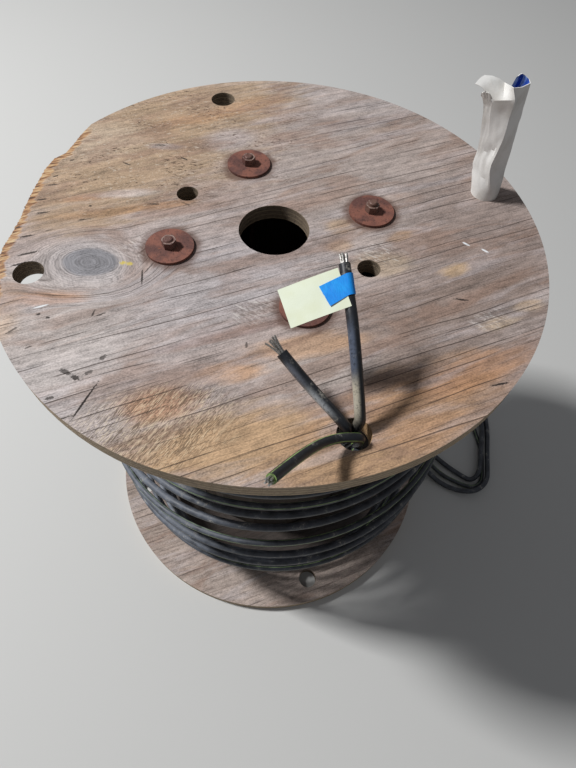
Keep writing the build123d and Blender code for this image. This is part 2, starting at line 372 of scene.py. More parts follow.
def wound_points(name):
    """Work out one conductor's turns from the start hole down to its tail."""
    hole = CABLE_HOLE + polar(BUNDLE_R, BUNDLE_AZ[name])
    points = [(hole.x, hole.y, HOLE_MIDDLE), (hole.x, hole.y, HOLE_FOOT)]
    row = list(TURN_Z).index(name)
    steps = math.ceil(COIL_TURNS * POINTS_PER_TURN)
    for step in range(1, steps + 1):
        turn = COIL_TURNS * step / steps
        left = COIL_TURNS - turn
        z = blend_values(TURN_Z[name], turn)
        radius = blend_values(COIL_R, z)
        if left < TAIL_SHARE:
            radius += (TAIL_R[name] - radius) * (1 - left / TAIL_SHARE)
        loose = max(0.0, min(1.0, (turn - 0.1) / 0.2, (left - 0.45) / 0.3))
        left_side = max(0.0, math.cos(2 * math.pi * (turn - 0.24))) ** 3
        push = LEFT_PUSH[name][int(turn + 0.26)]
        sway = limit(SWAY_Z_GAIN * wild(turn * SWAY_RATE, row * 7.7, 0.4), -SWAY_Z, SWAY_Z)
        z += loose * (left_side * push + (1 - left_side) * sway)
        radius += loose * limit(SWAY_R_GAIN * wild(turn * SWAY_RATE, row * 5.3, 9.1), -SWAY_R, SWAY_R)
        place = polar(radius, START_AZ - 360 * turn, z)
        points.append((place.x + COIL_SHIFT / MM, place.y, z))
    along = polar(1.0, END_AZ - 90)
    points.append(tuple(Vector(points[-1]) + along * TAIL_LEAD))
    return points + TAIL_ROUTES[name]


def declare(obj, exit_point, pieces=()):
    """Attach a cord to the root body; its exit point, length, diameter and pieces are worked out but not kept."""
    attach(obj, "root")
    tuple(Vector(exit_point) * MM)
    round(route_length(obj), 3)
    diameter(obj.name)
    list(pieces)


# Plywood: grain that flows round one knot, patches of colour, checks along the grain, and nicks

KNOT = (-194.6, -56.3)
KNOT_RADII = (29, 20)
KNOT_DEPTH = 0.2
KNOT_TURN = math.radians(-4)
BARE_VENEER = ((-150, 165), (200, 140), 10, 0.5)
TAN, OCHRE, PALE, PINK = rgb(164, 140, 115), rgb(182, 150, 116), rgb(182, 175, 171), rgb(138, 122, 115)

# Patches of colour on the upper flange: centre, half sizes, turn in degrees, colour, strength
COLOUR_PATCHES = [
    ((150, 120), (190, 170), 0, rgb(158, 144, 136), 0.6),
    ((240, 10), (80, 120), 0, PINK, 0.75),
    ((165, -130), (130, 56), 25, rgb(130, 112, 102), 0.75),
    ((-170, 150), (150, 110), 30, TAN, 0.95),
    ((-95, 245), (125, 62), 22, TAN, 0.9),
    ((-230, 40), (70, 52), 10, TAN, 0.85),
    ((-101, 209), (62, 12), 18, rgb(168, 134, 104), 0.8),
    ((-40, 240), (50, 16), 22, rgb(172, 138, 108), 0.7),
    ((-165, 172), (45, 9), 20, rgb(166, 136, 108), 0.6),
    ((-195, 50), (48, 6), 12, rgb(160, 122, 92), 0.8),
    ((-185, 22), (60, 7), 12, rgb(164, 130, 98), 0.8),
    ((-128, 36), (34, 6), 14, rgb(172, 134, 98), 0.8),
    ((-140, 146), (22, 6), 0, rgb(150, 140, 140), 0.7),
    ((-175, 54), (34, 7), 8, rgb(184, 176, 172), 0.7),
    ((-60, 163), (34, 22), 15, rgb(170, 160, 160), 0.7),
    ((-230, -150), (90, 90), 0, PALE, 0.55),
    ((-225, 150), (60, 36), 20, rgb(184, 166, 146), 0.7),
    ((-60, -110), (70, 30), 20, rgb(176, 170, 170), 0.6),
    ((40, -190), (60, 22), 15, rgb(178, 168, 162), 0.6),
    ((-40, -70), (110, 60), 22, rgb(162, 156, 157), 0.5),
    ((-234, -108), (42, 9), 5, rgb(190, 144, 110), 0.75),
    ((-270, -130), (22, 40), 0, rgb(190, 164, 140), 0.6),
    ((-100, -228), (34, 17), 10, rgb(172, 128, 96), 0.8),
    ((-38, -193), (30, 11), 8, rgb(178, 140, 108), 0.8),
    ((-38, -268), (95, 34), 10, OCHRE, 0.95),
    ((36, -160), (52, 14), 12, rgb(180, 144, 112), 0.7),
    ((110, -248), (112, 42), 32, rgb(170, 134, 103), 0.95),
    ((196, -186), (58, 16), 24, rgb(170, 128, 96), 0.8),
    ((60, -285), (60, 20), 8, rgb(176, 144, 112), 0.8),
    ((100, 212), (84, 10), 6, rgb(140, 124, 117), 0.6),
    ((166, 196), (44, 8), 4, rgb(150, 130, 118), 0.6),
    ((-40, -148), (70, 6), 18, rgb(136, 114, 108), 0.7),
    ((20, -122), (60, 7), 18, rgb(140, 118, 110), 0.6),
    ((197, -56), (17, 8), 20, rgb(180, 150, 112), 0.7),
    ((143, -6), (14, 7), 30, rgb(182, 150, 112), 0.6),
    ((75, 8), (16, 10), 20, rgb(182, 154, 122), 0.6),
    ((73, -24), (14, 9), 20, rgb(176, 146, 118), 0.6),
    ((118, -50), (30, 18), 10, rgb(176, 156, 132), 0.7),
    ((230, -128), (20, 7), 20, rgb(184, 160, 130), 0.7),
    ((266, -104), (18, 7), 20, rgb(186, 160, 130), 0.6),
]

# Nicks and cracks in the upper face: place, half length, half width, turn in degrees, and how dark
NICKS = [
    (-145, 148, 8, 1.5, 0, 0.8), (-113, 122, 6, 1.5, -30, 0.9), (-182, 109, 6, 1.4, -30, 0.8),
    (-139, 37, 8, 1.4, 0, 0.8), (-211, 31, 2, 1.6, 0, 0.9), (-216, 8, 4, 1.4, 10, 0.8),
    (-249, 113, 4, 1.5, 30, 0.8), (-231, -128, 2.5, 1.7, 0, 0.9), (-221, -132, 2.5, 1.7, 0, 0.9),
    (-178, -125, 5, 1.2, 78, 0.8), (-171, -127, 5, 1.3, 28, 0.8), (-251, -148, 7, 1.4, 42, 0.7),
    (-231, -168, 4, 1.2, 35, 0.7), (-159, -178, 4, 3.0, 55, 0.7), (-190, -195, 7, 3.2, -25, 0.8),
    (-180, -201, 5, 3.0, -20, 0.9), (-169, -195, 5, 2.2, 30, 0.7), (-198, -223, 5, 2.0, 20, 0.8),
    (-25, -161, 1.4, 4, 0, 0.7), (196, -98, 8, 1.5, -8, 0.9), (-103, 39, 6, 1.6, -30, 0.5),
    (-167, -226, 23, 1.3, 68, 1.0), (-182, -243, 9, 1.0, 20, 0.8), (-137, -76, 12, 1.3, 96, 0.9),
    (-131, -62, 11, 1.1, 62, 0.7), (-125, -40, 10, 0.9, 50, 0.6), (-262, 18, 8, 1.5, 12, 0.9),
    (-268, 40, 7, 1.6, 14, 0.9), (-262, 66, 7, 1.4, 10, 0.9), (-270, -20, 9, 1.6, 16, 0.9),
    (-262, 82, 4, 1.4, 25, 0.8), (-248, -10, 5, 1.0, 20, 0.6), (214, -201, 11, 1.2, 12, 1.0),
    (-262, -46, 12, 1.8, 20, 0.9), (-268, -62, 10, 1.6, 24, 0.9), (-250, -78, 8, 1.4, 75, 0.7),
]
# Pale chips: place, half length, half width, turn in degrees
PALE_CHIPS = [(-231, -118, 7, 0.9, 22), (216, -16, 4.4, 1.3, -38), (235.5, -26, 4.4, 1.3, -38)]

# Worn rim of the upper flange: azimuth, and how many millimetres of the radius are gone, at most RIM_MOST
RIM_WEAR = [
    (142, 0), (147, 7.5), (150, 12.5), (154, 16), (157, 10.5), (161, 12), (166, 16.5), (172, 19),
    (178, 21), (183, 18), (187, 12.5), (191, 10), (198, 5), (206, 0),
]
RIM_FIRST, RIM_LAST = RIM_WEAR[0][0], RIM_WEAR[-1][0]
RIM_MOST = 25


def grain_coordinates(paint, turn, face):
    """Give coordinates that run along and across the grain, and round the knot on the upper face."""
    flat = paint.place((1, 1, 1), turn=turn)
    if not face:
        return flat, None
    along, across, up = paint.parts(flat)
    radii = (KNOT_RADII[0] * MM, KNOT_RADII[1] * MM, KNOT_DEPTH)
    far = paint.distance(paint.place(radii, (KNOT[0] * MM, KNOT[1] * MM, HEIGHT), KNOT_TURN))
    wave = paint.noise(0.05, 3.0)
    far = paint.plus(far, paint.times(paint.minus(wave, 0.5), 0.35))
    straight = paint.band(far, 1.1, 3.4)
    ringed = paint.times(far, 0.022)
    across = paint.plus(paint.times(across, straight), paint.times(ringed, paint.minus(1.0, straight)))
    node = paint.nodes.new("ShaderNodeCombineXYZ")
    for source, target in zip((along, across, up), node.inputs):
        paint.join(source, target)
    return node.outputs[0], far


def drying_checks(paint, grain, spacing, wander, width, seed):
    """Give thin dark lines along the grain, about one in each spacing, that start and stop."""
    bend = paint.noise((0.3, 0.06, 0.2), 2.0, shift=(seed, 0, 0), source=grain)
    across = paint.parts(grain)[1]
    count = paint.plus(paint.math("DIVIDE", across, spacing), paint.times(bend, wander))
    off = paint.math("ABSOLUTE", paint.minus(paint.math("FRACT", count), 0.5))
    share = width / spacing / 2
    line = paint.band(off, share * 0.6, share * 1.5, 1.0, 0.0)
    shown = paint.noise((8 * spacing, spacing, 0.1), 1.0, shift=(seed, seed, 0), source=grain)
    return paint.times(line, paint.band(shown, 0.48, 0.60))


def torn_rim(paint, ragged):
    """Give 1 on the band where the upper flange's worn rim has lost its face veneer."""
    x, y = paint.parts(paint.coords.outputs["Object"])[:2]
    azimuth = paint.math("ARCTAN2", paint.times(y, -1.0), paint.times(x, -1.0))
    share = paint.band(azimuth, math.radians(RIM_FIRST - 180), math.radians(RIM_LAST - 180), kind="LINEAR")
    stops = []
    for turn, gone in RIM_WEAR:
        level = gone / RIM_MOST
        stops.append(((turn - RIM_FIRST) / (RIM_LAST - RIM_FIRST), (level, level, level, 1)))
    gone = paint.times(paint.ramp(share, stops), RIM_MOST * MM)
    inset = paint.minus(FLANGE_R, paint.plus(gone, paint.from_axis()))
    inset = paint.plus(inset, paint.times(paint.minus(ragged, 0.5), 0.020))
    return paint.times(paint.band(inset, 0.006, 0.010, 1.0, 0.0), paint.band(gone, 0.001, 0.005))


def knot_body(paint, colour, far):
    """Tint the knot, its fine uneven rings and the pale wood that flows round it."""
    heart = paint.band(far, 0.86, 1.08, 1.0, 0.0)
    colour = paint.mix(paint.band(far, 1.0, 2.0, 0.6, 0.0), colour, rgb(176, 171, 171))
    colour = paint.over(colour, rgb(124, 124, 129), heart, 0.85)
    wobble = paint.times(paint.noise((0.01, 0.008, 0.012), 4.0, 0.7), 14.0)
    rings = paint.math("SINE", paint.plus(paint.times(far, 52.0), wobble))
    broken = paint.band(paint.noise((0.014, 0.01, 0.012), 3.0, shift=(0.2, 0, 0)), 0.36, 0.60, 0.25, 1.0)
    ringed = paint.times(paint.band(rings, 0.1, 1.0), paint.band(far, 1.3, 2.8, 0.44, 0.0))
    colour = paint.mix(paint.times(ringed, broken), colour, rgb(92, 88, 90))
    edge = paint.band(paint.math("ABSOLUTE", paint.minus(far, 1.0)), 0.0, 0.06, 0.50, 0.0)
    return paint.mix(paint.times(edge, broken), colour, rgb(84, 82, 84))


def face_marks(paint, colour, checks, far, ragged, specks):
    """Add the upper face's torn veneer, with painted shade and highlights on its ridges and rough patches, nicks,
    chips and rust, and give its roughness too.
    """
    checks = paint.times(checks, paint.band(far, 1.2, 2.0))
    bare = paint.patch(*BARE_VENEER)
    checks = paint.times(checks, paint.minus(1.0, paint.times(bare, 0.85)))
    # Small pits and lifted chips where the veneer is bare
    pits = paint.noise((0.0065, 0.0026, 0.004), 3.0, 0.6, 0.8, turn=math.radians(4))
    clustered = paint.band(paint.noise((0.05, 0.03, 0.05), 2.0, shift=(0.1, 0.6, 0)), 0.46, 0.60)
    pitted = paint.times(paint.band(pits, 0.585, 0.63), paint.plus(paint.times(bare, 0.85), 0.10))
    pitted = paint.times(pitted, clustered)
    colour = paint.mix(pitted, colour, rgb(80, 62, 50))
    colour = paint.mix(paint.times(paint.band(pits, 0.40, 0.34), paint.times(bare, 0.5)), colour, rgb(212, 200, 184))
    fleck = paint.patch((-160, -56.5), (3.4, 2.6), 20, 0.4, specks, 2.4)
    fleck = paint.math("MAXIMUM", fleck, paint.patch((-153, -57.5), (3.6, 2.4), -10, 0.4, specks, 2.4))
    colour = paint.over(colour, rgb(206, 186, 84), fleck, 0.85)
    # Rough ridges where the face veneer was torn across the grain, with painted shade in the grooves and a painted
    # highlight on the crests
    curl = paint.patch((-104, -250), (72, 40), 14, 0.35, ragged, 0.9)
    ridge = paint.noise((0.01, 0.0017, 0.004), 2.0, 0.6, 1.3, turn=math.radians(56))
    colour = paint.mix(paint.times(curl, paint.band(ridge, 0.38, 0.50, 0.72, 0.0)), colour, rgb(96, 80, 64))
    colour = paint.mix(paint.times(curl, paint.band(ridge, 0.51, 0.62, 0.0, 0.50)), colour, rgb(214, 196, 166))
    # Rough torn patches of veneer, with painted shade in their hollows and a painted highlight on their raised fibres
    torn = paint.noise((0.009, 0.002, 0.004), 2.0, 0.65, 0.6, turn=math.radians(-28))
    rough = paint.patch((-142, -36), (26, 17), 0, 0.4, ragged, 1.0)
    for centre, radii, turn in (((-20, -118), (28, 16), 20), ((118, -34), (26, 17), 10), ((222, -124), (24, 12), 20)):
        rough = paint.math("MAXIMUM", rough, paint.patch(centre, radii, turn, 0.4, ragged, 1.2))
    colour = paint.mix(paint.times(rough, paint.band(torn, 0.38, 0.50, 0.55, 0.0)), colour, rgb(116, 104, 98))
    colour = paint.mix(paint.times(rough, paint.band(torn, 0.54, 0.68, 0.0, 0.60)), colour, rgb(212, 206, 200))
    colour = paint.over(colour, rgb(66, 52, 46), checks, 0.72)
    nick = 0.0
    for x, y, long, wide, angle, depth in NICKS:
        cut = paint.patch((x, y), (long * 0.9, wide * 0.8), angle, 0.30, specks, 1.6)
        nick = paint.math("MAXIMUM", nick, paint.times(cut, depth))
    colour = paint.mix(nick, colour, rgb(40, 32, 28))
    for x, y, long, wide, angle in PALE_CHIPS:
        colour = paint.mix(paint.patch((x, y), (long, wide), angle, 0.3, specks, 0.8), colour, rgb(228, 230, 232))
    # Rust that has bled from the washers
    for number in range(BOLT_COUNT):
        spot = polar(BOLT_R / MM, BOLT_AZ + 90 * number)
        stain = paint.patch((spot.x, spot.y), (33, 32), 0, 0.16, ragged, 0.6)
        colour = paint.over(colour, rgb(88, 60, 48), stain, 0.75)
    # Orange splinters along the worn rim
    rim = torn_rim(paint, ragged)
    splinter = paint.noise((0.016, 0.0026, 0.004), 3.0, 0.6, 0.4, turn=GRAIN_TURN)
    stripped = paint.ramp(splinter, [
        (0.34, rgb(64, 46, 36)), (0.44, rgb(142, 98, 66)), (0.54, rgb(184, 142, 100)), (0.68, rgb(214, 190, 150)),
    ])
    colour = paint.over(colour, stripped, rim, 0.92)
    relief = paint.plus(paint.times(curl, ridge), paint.times(rough, torn))
    relief = paint.plus(relief, paint.times(rim, paint.minus(splinter, 1.0)))
    return colour, checks, relief


def plywood(name, turn, low, plain, second, patches=(), face=False):
    """Make weathered plywood in two broad tints, whose lower face is at a height in metres."""
    paint = Paint(name, roughness=0.86)
    grain, far = grain_coordinates(paint, turn, face)
    broad = paint.noise((0.45, 0.11, 0.2), 2.0, 0.5, source=grain)
    ragged = paint.noise((0.05, 0.012, 0.02), 3.0, 0.6, source=grain)
    streak = paint.noise((0.1, 0.0045, 0.006), 3.0, 0.62, source=grain)
    fibre = paint.noise((0.018, 0.0011, 0.002), 2.0, 0.6, source=grain)
    mottle = paint.noise((0.014, 0.006, 0.006), 4.0, 0.72, source=grain)
    specks = paint.noise((0.0022, 0.0014, 0.002), 2.0, 0.65, source=grain)
    colour = paint.mix(paint.band(broad, 0.38, 0.62), plain, second)
    for centre, radii, angle, tint, strength in patches:
        cover = paint.patch(centre, radii, angle, 0.45, ragged, 1.1)
        colour = paint.over(colour, tint, cover, strength)
    # Weather stains and bleached bands, then the contrast of streaks, blots, fibres and crumbs
    stain = paint.noise((0.13, 0.034, 0.05), 4.0, 0.6, 0.7, shift=(0.31, 0.12, 0), source=grain)
    bleach = paint.noise((0.17, 0.026, 0.05), 4.0, 0.6, 0.7, shift=(0.93, 0.44, 0), source=grain)
    colour = paint.mix(paint.band(stain, 0.46, 0.64, 0.0, 0.55), colour, rgb(136, 109, 94))
    bleached = paint.band(bleach, 0.50, 0.66, 0.0, 0.32)
    if face:
        bleached = paint.minus(bleached, paint.times(bleached, paint.patch(*BARE_VENEER)))
    colour = paint.mix(bleached, colour, rgb(180, 174, 177))
    if face:
        colour = knot_body(paint, colour, far)
    tone = paint.plus(streak, paint.times(mottle, 1.2))
    blotch = paint.noise((0.055, 0.022, 0.05), 3.0, 0.6, 0.5, shift=(0.5, 0.7, 0), source=grain)
    tone = paint.plus(tone, paint.times(fibre, 0.6))
    tone = paint.plus(tone, paint.times(blotch, 0.8))
    tone = paint.plus(tone, paint.times(specks, 1.4))
    tone = paint.math("MAXIMUM", paint.minus(tone, 1.46), 0.35)
    colour = paint.mix(1.0, colour, tone, kind="MULTIPLY")
    checks = drying_checks(paint, grain, 0.0135, 1.7, 0.0008, 0.0)
    fine = drying_checks(paint, grain, 0.0062, 2.5, 0.0004, 0.37)
    checks = paint.math("MAXIMUM", checks, paint.times(fine, 0.55))
    relief = None
    if face:
        colour, checks, relief = face_marks(paint, colour, checks, far, ragged, specks)
    else:
        colour = paint.over(colour, rgb(70, 58, 50), checks, 0.6)
        # Painted shade round the foot of the barrel, under the cable winding, darkening the lower flange there
        under_coil_shade = paint.from_axis()
        under_coil_shade = paint.plus(under_coil_shade, paint.times(ragged, 0.03))
        colour = paint.mix(paint.band(under_coil_shade, 0.235, 0.275, 0.85, 0.0), colour, rgb(42, 38, 36))
    # Seven plies show on the edge and in the holes
    upright = paint.band(paint.math("ABSOLUTE", paint.facing()), 0.5, 0.8, 1.0, 0.0)
    height = paint.minus(paint.parts(paint.coords.outputs["Object"])[2], low)
    wander = paint.noise((0.05, 0.05, 0.02), 2.0)
    height = paint.plus(height, paint.times(paint.minus(wander, 0.5), 0.0012))
    ply = paint.times(height, 1 / PLY_T)
    within = paint.math("FRACT", ply)
    glue = paint.math("MINIMUM", within, paint.minus(1.0, within))
    odd = paint.band(paint.math("FRACT", paint.times(ply, 0.5)), 0.47, 0.53)
    crumbs = paint.noise((0.005, 0.005, 0.0016), 4.0, 0.7)
    side_grain = paint.noise((0.04, 0.04, 0.0009), 3.0, 0.6)
    edge_colour = paint.mix(odd, rgb(184, 163, 134), rgb(158, 138, 114))
    edge_colour = paint.mix(paint.band(crumbs, 0.34, 0.50, 0.60, 0.0), edge_colour, rgb(72, 58, 48))
    edge_colour = paint.mix(paint.band(side_grain, 0.46, 0.70, 0.0, 0.45), edge_colour, rgb(176, 160, 140))
    edge_colour = paint.mix(paint.band(crumbs, 0.60, 0.74, 0.0, 0.60), edge_colour, rgb(198, 186, 168))
    edge_colour = paint.mix(paint.band(glue, 0.02, 0.12, 0.45, 0.0), edge_colour, rgb(66, 52, 44))
    # Painted shade: the walls of the holes, inside the rim, are darkened
    hole_wall_shade = paint.band(paint.from_axis(), 0.286, 0.290, 0.55, 0.0)
    edge_colour = paint.mix(hole_wall_shade, edge_colour, rgb(52, 42, 37))
    if face:
        # Painted light: the right wall of the cable hole is made pale ochre, as if lit
        cut = paint.patch((CABLE_HOLE.x + 14, CABLE_HOLE.y), (13, 24), 0, 0.3)
        edge_colour = paint.over(edge_colour, rgb(198, 158, 112), cut, 0.8)
    paint.colour(paint.mix(upright, colour, edge_colour))
    height = paint.plus(paint.times(streak, 0.30), paint.times(mottle, 0.45))
    height = paint.minus(height, paint.times(checks, 0.7))
    joints = paint.times(upright, paint.band(glue, 0.02, 0.12, 1.0, 0.0))
    height = paint.minus(height, paint.times(joints, 0.8))
    if relief:
        height = paint.plus(height, relief)
    paint.bump(height, 0.0012, 0.8)
    return paint


def stave_boards():
    """Make sawn softwood whose grain stands upright and whose tint differs from board to board, dark with weathering
    and darker still as painted shade inside the winding.
    """
    paint = Paint("stave_board", roughness=0.85)
    x, y = paint.parts(paint.coords.outputs["Object"])[:2]
    board = paint.math("ROUND", paint.times(paint.math("ARCTAN2", y, x), STAVE_COUNT / 2 / math.pi))
    random_tint = paint.math("FRACT", paint.times(paint.math("SINE", paint.times(board, 12.99)), 437.5))
    streak = paint.noise((0.0045, 0.0045, 0.16), 5.0, 0.6)
    fibre = paint.noise((0.0012, 0.0012, 0.03), 3.0, 0.6)
    cloud = paint.noise((0.08, 0.08, 0.2), 3.0, 0.5)
    # Dark weathered wood, darkened further as painted shade under the flange and inside the winding
    colour = paint.mix(random_tint, rgb(84, 73, 63), rgb(70, 61, 53))
    colour = paint.mix(paint.band(streak, 0.35, 0.65, 0.55, 0.0), colour, rgb(54, 44, 37))
    colour = paint.mix(paint.band(fibre, 0.35, 0.65, 0.3, 0.0), colour, rgb(46, 39, 33))
    colour = paint.mix(paint.band(cloud, 0.45, 0.7, 0.0, 0.5), colour, rgb(56, 53, 50))
    paint.colour(colour)
    paint.bump(paint.plus(streak, fibre), 0.0006, 0.6)
    return paint


# Radius of the painted highlight ring on a nut's upper corners
NUT_HIGHLIGHT_R = 0.0069


def rusted_steel(name, base, fleck, gloss, corner_highlight=False):
    """Make steel under an even coat of rust, with darker pits, bright flecks and, on nuts, a painted highlight on the
    upper corners.
    """
    paint = Paint(name, roughness=gloss, metallic=0.15)
    pits = paint.noise(0.0035, 5.0, 0.65)
    cloud = paint.noise(0.022, 3.0, 0.55)
    grit = paint.noise(0.0011, 2.0, 0.6)
    colour = paint.mix(paint.band(cloud, 0.38, 0.60), base, rgb(98, 64, 58))
    colour = paint.mix(paint.band(pits, 0.32, 0.48, 0.75, 0.0), colour, rgb(62, 42, 38))
    colour = paint.mix(paint.band(grit, 0.60, 0.78, 0.0, 0.6), colour, fleck)
    colour = paint.mix(paint.band(pits, 0.63, 0.74, 0.0, 0.7), colour, rgb(168, 98, 58))
    if corner_highlight:
        # Painted highlight on the corners of the nuts' upper faces
        rim = 0.0
        for number in range(BOLT_COUNT):
            spot = polar(BOLT_R, BOLT_AZ + 90 * number)
            reach = paint.from_axis(spot.x, spot.y)
            ring = paint.band(paint.math("ABSOLUTE", paint.minus(reach, NUT_HIGHLIGHT_R)), 0.0003, 0.0010, 1.0, 0.0)
            rim = paint.math("MAXIMUM", rim, ring)
        rim = paint.times(rim, paint.band(paint.facing(), 0.3, 0.8, 0.0, 0.6))
        rim = paint.times(rim, paint.band(pits, 0.40, 0.58))
        colour = paint.mix(rim, colour, rgb(184, 166, 156))
    paint.colour(colour)
    paint.bump(paint.plus(paint.times(pits, 0.7), paint.times(grit, 0.3)), 0.0007, 0.8)
    return paint


def dusty_jacket(name, dust_and_lit_side, pale_dust, stripes=None, dust_and_sheen=()):
    """Make black cable jacket with dust on what faces up, laid on more strongly on the left as painted light, scuffs,
    pale dust and bluish painted sheen, and stripes if given their turn.
    """
    paint = Paint(name, roughness=0.42)
    paint.shader.inputs["Specular IOR Level"].default_value = 0.5
    x = paint.parts(paint.coords.outputs["Object"])[0]
    around = paint.parts(paint.coords.outputs["UV"])[1]
    blots = paint.noise(0.018, 5.0, 0.65)
    grit = paint.noise(0.0024, 3.0, 0.65)
    broad = paint.noise((0.14, 0.14, 0.05), 3.0, 0.5)
    colour = rgb(21, 22, 26)
    if stripes is not None:
        wobble = paint.times(paint.minus(broad, 0.5), 0.08)
        wobble = paint.plus(wobble, stripes)
        around = paint.math("FRACT", paint.plus(paint.times(around, 3.0), wobble))
        line = paint.band(paint.math("ABSOLUTE", paint.minus(around, 0.5)), 0.038, 0.066, 1.0, 0.0)
        worn = paint.times(line, paint.band(blots, 0.36, 0.54, 0.25, 0.95))
        colour = paint.mix(worn, colour, rgb(150, 182, 102))
    lifted = paint.band(paint.facing(), -0.15, 0.85)
    # Painted light: the dust is laid on more strongly towards the left side, as if lit
    left = paint.band(x, -0.30, 0.06, 1.0, 0.30)
    cover = paint.times(paint.times(lifted, left), paint.band(blots, 0.30, 0.62, 0.35, 1.0))
    colour = paint.over(colour, rgb(132, 139, 152), cover, dust_and_lit_side)
    # Pale dust and bluish-grey painted sheen on the sides that face left
    for centre, radii, tint, strength in dust_and_sheen:
        near = paint.patch(centre[:2], radii[:2], 0, 0.5, grit, 0.9, height=centre[2] * MM, deep=radii[2] * MM)
        near = paint.times(near, paint.band(paint.parts(paint.geometry.outputs["Normal"])[0], 0.35, -0.35))
        near = paint.times(near, paint.band(grit, 0.30, 0.52, 0.35, 1.0))
        colour = paint.over(colour, tint, near, strength)
    spots = paint.times(paint.band(blots, 0.55, 0.68), paint.band(grit, 0.40, 0.60))
    colour = paint.over(colour, rgb(170, 166, 156), spots, pale_dust)
    colour = paint.mix(paint.band(grit, 0.66, 0.80, 0.0, 0.35), colour, rgb(120, 122, 126))
    paint.colour(colour)
    paint.join(paint.band(paint.plus(cover, spots), 0.0, 0.9, 0.34, 0.72), paint.shader.inputs["Roughness"])
    paint.bump(paint.plus(blots, paint.times(grit, 0.4)), 0.0004, 0.5)
    return paint


def bare_metal():
    """Make the dull bright metal of the conductors' wires."""
    paint = Paint("bare_strands", roughness=0.36, metallic=0.85)
    grit = paint.noise(0.0012, 3.0, 0.6)
    paint.colour(paint.mix(paint.band(grit, 0.3, 0.7), rgb(152, 148, 142), rgb(214, 212, 208)))
    paint.bump(grit, 0.0002, 0.5)
    return paint


def creased_card(name, inside=False):
    """Make grey-white card with soft dirt, and blue inside the sleeve where asked."""
    paint = Paint(name, roughness=0.8)
    dirt = paint.noise((0.03, 0.03, 0.05), 4.0, 0.6)
    pulp = paint.noise(0.0016, 3.0, 0.6)
    colour = paint.mix(paint.band(dirt, 0.40, 0.66), rgb(236, 235, 232), rgb(214, 211, 205))
    if inside:
        x, _, z = paint.parts(paint.coords.outputs["Object"])
        streak = paint.noise((0.004, 0.01, 0.02), 3.0, 0.6)
        blue = paint.mix(paint.band(streak, 0.52, 0.66), rgb(28, 74, 172), rgb(150, 178, 224))
        printed = paint.math("MAXIMUM", paint.band(x, 0.2395, 0.2415), paint.band(z, 0.7490, 0.7470))
        colour = paint.mix(printed, colour, blue)
    colour = paint.mix(paint.band(pulp, 0.60, 0.80, 0.0, 0.4), colour, rgb(238, 236, 230))
    paint.colour(colour)
    paint.bump(paint.plus(paint.times(dirt, 0.6), paint.times(pulp, 0.4)), 0.0005, 0.6)
    return paint


def tag_paper():
    """Make the tag's pale yellow paper."""
    paint = Paint("tag_paper", roughness=0.75)
    cloud = paint.noise(0.02, 3.0, 0.5)
    fibre = paint.noise(0.0012, 3.0, 0.6)
    colour = paint.mix(paint.band(cloud, 0.35, 0.65), rgb(236, 243, 221), rgb(231, 237, 209))
    colour = paint.mix(paint.band(fibre, 0.66, 0.82, 0.0, 0.3), colour, rgb(206, 208, 178))
    paint.colour(colour)
    paint.bump(paint.plus(cloud, paint.times(fibre, 0.3)), 0.0003, 0.5)
    return paint


def crepe_tape():
    """Make blue tape with a fine crepe across it."""
    paint = Paint("blue_tape", roughness=0.6)
    crepe = paint.noise((0.0009, 0.005, 0.003), 3.0, 0.6, turn=math.radians(20))
    cloud = paint.noise(0.012, 3.0, 0.5)
    colour = paint.mix(paint.band(cloud, 0.35, 0.65), rgb(12, 166, 255), rgb(8, 150, 250))
    colour = paint.mix(paint.band(crepe, 0.35, 0.65, 0.3, 0.0), colour, rgb(10, 108, 204))
    paint.colour(colour)
    paint.bump(crepe, 0.0002, 0.6)
    return paint


def rolled_sheet(name, columns, rows, shape, thick, offset=-1.0, torn=None, faces=()):
    """Start from a flat grid, cut out what torn(u, v) says, move each point by shape(u, v), and thicken it."""
    deselect()
    bpy.ops.mesh.primitive_grid_add(x_subdivisions=columns, y_subdivisions=rows, size=2)
    sheet = bpy.context.object
    sheet.name = name
    for material in faces:
        sheet.data.materials.append(material)
    if torn:
        # A new grid is selected all over
        bpy.ops.object.mode_set(mode="EDIT")
        bpy.ops.mesh.select_mode(type="FACE")
        bpy.ops.mesh.select_all(action="DESELECT")
        bpy.ops.object.mode_set(mode="OBJECT")
        for face in sheet.data.polygons:
            face.select = torn((face.center.x + 1) / 2, (face.center.y + 1) / 2)
        bpy.ops.object.mode_set(mode="EDIT")
        bpy.ops.mesh.delete(type="FACE")
        bpy.ops.mesh.select_mode(type="VERT")
        bpy.ops.object.mode_set(mode="OBJECT")
    for vertex in sheet.data.vertices:
        vertex.co = shape((vertex.co.x + 1) / 2, (vertex.co.y + 1) / 2)
    bpy.ops.object.mode_set(mode="EDIT")
    bpy.ops.mesh.select_all(action="SELECT")
    bpy.ops.mesh.remove_doubles(threshold=0.00001)
    bpy.ops.mesh.normals_make_consistent(inside=False)
    bpy.ops.object.mode_set(mode="OBJECT")
    wall = sheet.modifiers.new("wall", "SOLIDIFY")
    wall.thickness = thick
    wall.offset = offset
    wall.material_offset = 1
    wall.material_offset_rim = 0
    bpy.ops.object.modifier_apply(modifier=wall.name)
    return sheet


def smooth(obj, angle=35):
    """Smooth all edges that turn less than an angle in degrees."""
    pick(obj)
    bpy.ops.object.shade_smooth_by_angle(angle=math.radians(angle))


# Each ply of the worn rim ends in its own torn line: how far it reaches past the solid's rim, in millimetres
PLY_REACH = [0.4, 1.6, 2.6, 3.8, 4.6, 5.6, 4.8]
RIM_COLUMNS, RIM_ROWS = 230, 3
PLY_ROOT = 3
RIM_MARGIN = 0.4


